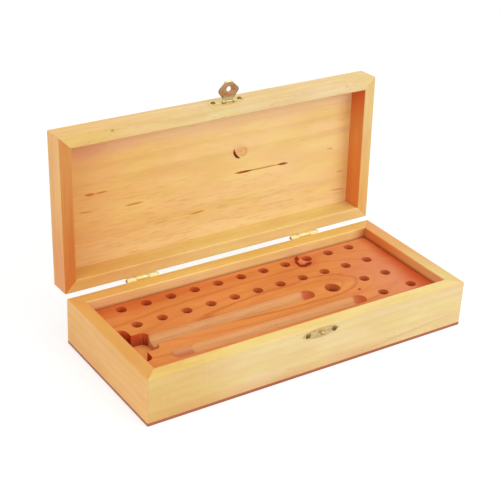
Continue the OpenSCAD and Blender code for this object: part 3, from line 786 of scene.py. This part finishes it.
def add_boards(p, body, kind, section, looks):
    """The four mitred boards of a frame. Each has its own wood, and stands for the body's wall or rail on
    its side."""
    on_lid = body == "lid"
    for side, look in looks.items():
        finish = wood(f"{side} {kind} wood", p.pale[:], p.deep[:], on_lid=on_lid, **look)
        points, faces = mitred_board(side, section, p.edge, p.seam)
        add_piece(f"{body}_{side}_board", opened(points) if on_lid else points, faces, finish, body,
                  f"{body}_{side}_{kind}")


class CADDY_OT_base_boards(bpy.types.Operator):
    """The four mitred walls of the base"""
    bl_idname = "caddy.base_boards"
    bl_label = "Base boards"

    def execute(self, context):
        p = context.scene.caddy_boards
        section = board_section(WALL[1].y - WALL[0].y, WALL[0].z, WALL[1].z,
                                (GLUED_EDGE, GLUED_EDGE, p.rim, p.edge))
        add_boards(p, "base", "wall", section, BASE_LOOKS)
        return {"FINISHED"}


class CADDY_OT_lid_boards(bpy.types.Operator):
    """The four mitred rails of the lid"""
    bl_idname = "caddy.lid_boards"
    bl_label = "Lid boards"

    def execute(self, context):
        p = context.scene.caddy_boards
        section = board_section(p.lid_wall, LID_LOW, LID_LOW + p.lid_height - p.lid_panel,
                                (p.edge, p.rim, GLUED_EDGE, GLUED_EDGE))
        add_boards(p, "lid", "rail", section, LID_LOOKS)
        return {"FINISHED"}


class CADDY_OT_panels(bpy.types.Operator):
    """The lid's panel and the thin panel under the base"""
    bl_idname = "caddy.panels"
    bl_label = "Panels"

    def execute(self, context):
        p = context.scene.caddy_boards
        # The lid panel's tint along the grain is painted shade, and its marks add painted light and shade
        # inside the lid
        finish = wood("Lid panel wood", rgb(252, 219, 150), rgb(212, 152, 88), on_lid=True, seed=6.6,
                      heart=(8.0, 96.0), spacing=9.0, ring=0.14, pores=0.25, patch=0.55, dash=(10.0, 0.8),
                      coat=0.0, specular=0.2, far=(60.0, -150.0, rgb(248, 228, 204)), marks=panel_marks)
        top = LID_LOW + p.lid_height
        points, faces = rounded_slab(top - p.lid_panel, top, p.edge, GLUED_EDGE, p.edge)
        add_piece("lid_top_panel", opened(points), faces, finish, "lid", "lid_panel")
        finish = wood("Bottom panel wood", rgb(186, 102, 64), rgb(120, 58, 34), seed=9.1,
                      heart=(0.0, 60.0), ring=0.3, pores=0.4)
        points, faces = rounded_slab(PANEL[0].z, PANEL[1].z, p.edge, p.edge, GLUED_EDGE)
        add_piece("base_floor_panel", points, faces, finish, "base", "base_bottom_panel")
        return {"FINISHED"}


class CADDY_OT_tool_block(bpy.types.Operator):
    """The drilled and grooved block"""
    bl_idname = "caddy.tool_block"
    bl_label = "Tool block"

    def execute(self, context):
        p = context.scene.caddy_block
        finish = wood("Block wood", p.red[:], p.deep[:], seed=3.0, heart=(20.0, -60.0), spacing=8.0,
                      ring=0.22, pores=0.3, fibre=0.07, swing=(0.05, 0.10, 0.14), roughness=0.55, coat=0.0,
                      specular=0.2, marks=block_marks)
        dress("tool_block", finish, p.ease)
        return {"FINISHED"}


class CADDY_OT_hinges(bpy.types.Operator):
    """The hinge leaves and pins"""
    bl_idname = "caddy.hinges"
    bl_label = "Hinges"

    def execute(self, context):
        p = context.scene.caddy_hardware
        brass = metal("Hinge brass", rgb(250, 238, 172), rgb(242, 218, 146), rgb(204, 160, 92),
                      roughness=0.5, tarnish=0.2, metallic=0.4)
        pin = metal("Hinge pin metal", p.bronze[:], rgb(150, 104, 66), rgb(90, 52, 30),
                    roughness=0.35, tarnish=0.5)
        for side in ("left", "right"):
            for leaf in ("base", "lid"):
                dress(f"{side}_hinge_{leaf}_leaf", brass, HINGE_EDGE)
            dress(f"{side}_hinge_pin", pin, HINGE_EDGE)
        return {"FINISHED"}


class CADDY_OT_clasp(bpy.types.Operator):
    """The clasp: plate, pin and hasp on the lid, and the catch with its hook on the base"""
    bl_idname = "caddy.clasp"
    bl_label = "Clasp"

    def execute(self, context):
        p = context.scene.caddy_hardware
        brass = metal("Plate brass", p.brass[:], rgb(228, 214, 152), rgb(166, 148, 88),
                      roughness=0.42, tarnish=0.3, metallic=0.5, marks=plate_marks)
        dulled = metal("Catch brass", rgb(212, 186, 130), rgb(190, 160, 108), rgb(132, 104, 60),
                       roughness=0.4, tarnish=0.4, metallic=0.8)
        bronze = metal("Hasp bronze", p.bronze[:], rgb(166, 119, 76), rgb(104, 66, 38),
                       roughness=0.34, tarnish=0.35, marks=hasp_marks_and_highlight)
        dress("catch_plate", dulled, PLATE_EDGE)
        dress("clasp_plate", brass, PLATE_EDGE)
        dress("clasp_hasp", bronze, PLATE_EDGE)
        dress("clasp_pin", bronze, SMALL_EDGE)
        return {"FINISHED"}


class CADDY_OT_screws(bpy.types.Operator):
    """The slotted screws of the hinges and the clasp"""
    bl_idname = "caddy.screws"
    bl_label = "Screws"

    def execute(self, context):
        p = context.scene.caddy_hardware
        finish = metal("Screw metal", p.screw[:], rgb(112, 88, 44), rgb(58, 42, 22),
                       roughness=0.36, tarnish=0.6)
        for name in ("catch_screws", "clasp_screws", "hinge_base_screws", "hinge_lid_screws"):
            dress(name, finish, SMALL_EDGE)
        return {"FINISHED"}


class CADDY_OT_stage(bpy.types.Operator):
    """The floor, the soft lights and the camera"""
    bl_idname = "caddy.stage"
    bl_label = "Stage"

    def execute(self, context):
        p = context.scene.caddy_stage
        add_floor()
        add_world(p.ambient)
        for name, at, size, share in SOFTBOXES:
            add_light(name, at, size, p.key * share)
        add_camera()
        return {"FINISHED"}


# --- Stage ---

WHITE = (1.0, 1.0, 1.0)
# Half the floor's side, in metres
FLOOR_REACH = 4
# Each soft light's name, place, side and share of the key light's watts, and the point that they all face
SOFTBOXES = (("key_softbox", (0.75, -1.1, 0.95), 0.8, 1.0), ("fill_softbox", (-1.1, -0.5, 0.7), 0.8, 0.4),
             ("top_softbox", (0.1, -0.1, 1.4), 0.9, 0.4))
LIGHTS_AIM = (0, 0.03, 0.05)
# The camera's turn about the upright, its height above the horizon and its roll, in degrees
CAMERA_TURN, CAMERA_RISE, CAMERA_ROLL = -34.364, 27.774, 2.902
# The camera's place along its own right, up and back, in metres from the origin
CAMERA_PLACE = (-0.01498, 0.06893, 1.05387)
# The focal length and the picture's width, in pixels, and the sensor's width in millimetres
FOCAL_PIXELS, PICTURE_WIDTH, SENSOR_WIDTH = 1276.73, 500, 36.0


def seen(g):
    """1 on rays from the camera and on those that metal or glass sends on, 0 on light on a surface."""
    camera, glossy, glass = (g.node("ShaderNodeLightPath", out=ray) for ray in
                             ("Is Camera Ray", "Is Glossy Ray", "Is Transmission Ray"))
    return camera.top(glossy).top(glass)


def add_floor():
    """A pale floor that is seen as white, also in metal and through glass, with the object's soft shadow
    kept: the lit part of the white has the shadow, and the rest glows."""
    g = new_material("Floor")
    plain = g.node("ShaderNodeBsdfDiffuse", None, {"Color": rgb(232, 230, 226)})
    lit = g.node("ShaderNodeBsdfDiffuse", None, {"Color": (0.45, 0.45, 0.45)})
    glow = g.node("ShaderNodeEmission", None, {"Color": WHITE, "Strength": 0.66})
    white = g.node("ShaderNodeAddShader", None, {0: lit, 1: glow})
    mixed = g.node("ShaderNodeMixShader", None, {0: seen(g), 1: plain, 2: white})
    g.node("ShaderNodeOutputMaterial", None, {"Surface": mixed})
    corners = [(x * FLOOR_REACH, y * FLOOR_REACH, 0) for x, y in ((-1, -1), (1, -1), (1, 1), (-1, 1))]
    mesh = bpy.data.meshes.new("floor")
    mesh.from_pydata(corners, [], [(0, 1, 2, 3)])
    mesh.materials.append(g.owner)
    floor = bpy.data.objects.new("floor", mesh)
    bpy.context.scene.collection.objects.link(floor)


def add_world(strength):
    """An even white surround: full white where it is seen, also in metal and through glass, and of the
    given strength as light."""
    g = Graph(bpy.data.worlds.new("Surround"))
    bpy.context.scene.world = g.owner
    level = seen(g).ramp(0.0, 1.0, strength, 1.0)
    glow = g.node("ShaderNodeBackground", None, {"Color": WHITE, "Strength": level})
    g.node("ShaderNodeOutputWorld", None, {"Surface": glow})


def add_light(name, at, size, watts):
    """A square soft light that faces the box."""
    data = bpy.data.lights.new(name, "AREA")
    data.shape, data.size, data.energy = "SQUARE", size, watts
    light = bpy.data.objects.new(name, data)
    bpy.context.scene.collection.objects.link(light)
    turn = (Vector(at) - Vector(LIGHTS_AIM)).to_track_quat("Z", "Y")
    light.matrix_world = Matrix.Translation(at) @ turn.to_matrix().to_4x4()


def add_camera():
    """The camera looks down at the box from its front left. Its back axis comes from the turn and the rise,
    its right axis is level, and both right and up are then turned by the roll."""
    turn, rise, roll = (math.radians(v) for v in (CAMERA_TURN, CAMERA_RISE, CAMERA_ROLL))
    back = np.array([math.sin(turn) * math.cos(rise), -math.cos(turn) * math.cos(rise), math.sin(rise)])
    right = np.cross(UP, back)
    right /= np.linalg.norm(right)
    up = np.cross(back, right)
    x = right * math.cos(roll) + up * math.sin(roll)
    y = up * math.cos(roll) - right * math.sin(roll)
    at = back * CAMERA_PLACE[2] + x * CAMERA_PLACE[0] + y * CAMERA_PLACE[1]
    data = bpy.data.cameras.new("camera")
    data.sensor_width = SENSOR_WIDTH
    data.lens = FOCAL_PIXELS / PICTURE_WIDTH * SENSOR_WIDTH
    data.clip_start, data.clip_end = 0.05, 20.0
    camera = bpy.data.objects.new("camera", data)
    bpy.context.scene.collection.objects.link(camera)
    camera.matrix_world = Matrix([[x[i], y[i], back[i], at[i]] for i in range(3)] + [[0, 0, 0, 1]])
    bpy.context.scene.camera = camera


# --- Add-on ---

class CADDY_PT_panel(bpy.types.Panel):
    """Lists the pieces of the tool box and their settings"""
    bl_idname = "CADDY_PT_panel"
    bl_label = "Tool box"
    bl_space_type = "VIEW_3D"
    bl_region_type = "UI"
    bl_category = "Tool box"

    def draw(self, context):
        for operator in OPERATORS:
            self.layout.operator(operator.bl_idname)
        for name, group in GROUPS.items():
            for key in group.__annotations__:
                self.layout.prop(getattr(context.scene, name), key)


OPERATORS = (CADDY_OT_stage, CADDY_OT_base_boards, CADDY_OT_lid_boards, CADDY_OT_panels,
             CADDY_OT_tool_block, CADDY_OT_hinges, CADDY_OT_clasp, CADDY_OT_screws)
GROUPS = {"caddy_boards": BoxBoards, "caddy_block": BlockWood, "caddy_hardware": Hardware,
          "caddy_stage": Stage}


def register():
    for cls in (*GROUPS.values(), *OPERATORS, CADDY_PT_panel):
        bpy.utils.register_class(cls)
    for name, group in GROUPS.items():
        setattr(bpy.types.Scene, name, bpy.props.PointerProperty(type=group))


def unregister():
    for name in GROUPS:
        delattr(bpy.types.Scene, name)
    for cls in (CADDY_PT_panel, *reversed(OPERATORS), *reversed(GROUPS.values())):
        bpy.utils.unregister_class(cls)


def main():
    """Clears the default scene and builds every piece."""
    for item in [o for o in bpy.data.objects if o.type in ("CAMERA", "LIGHT") or o.name == "Cube"]:
        bpy.data.objects.remove(item)
    bpy.context.scene.view_settings.view_transform = "Standard"
    register()
    for operator in OPERATORS:
        group, name = operator.bl_idname.split(".")
        getattr(getattr(bpy.ops, group), name)()
    bpy.context.view_layer.update()


if __name__ == "__main__":
    main()
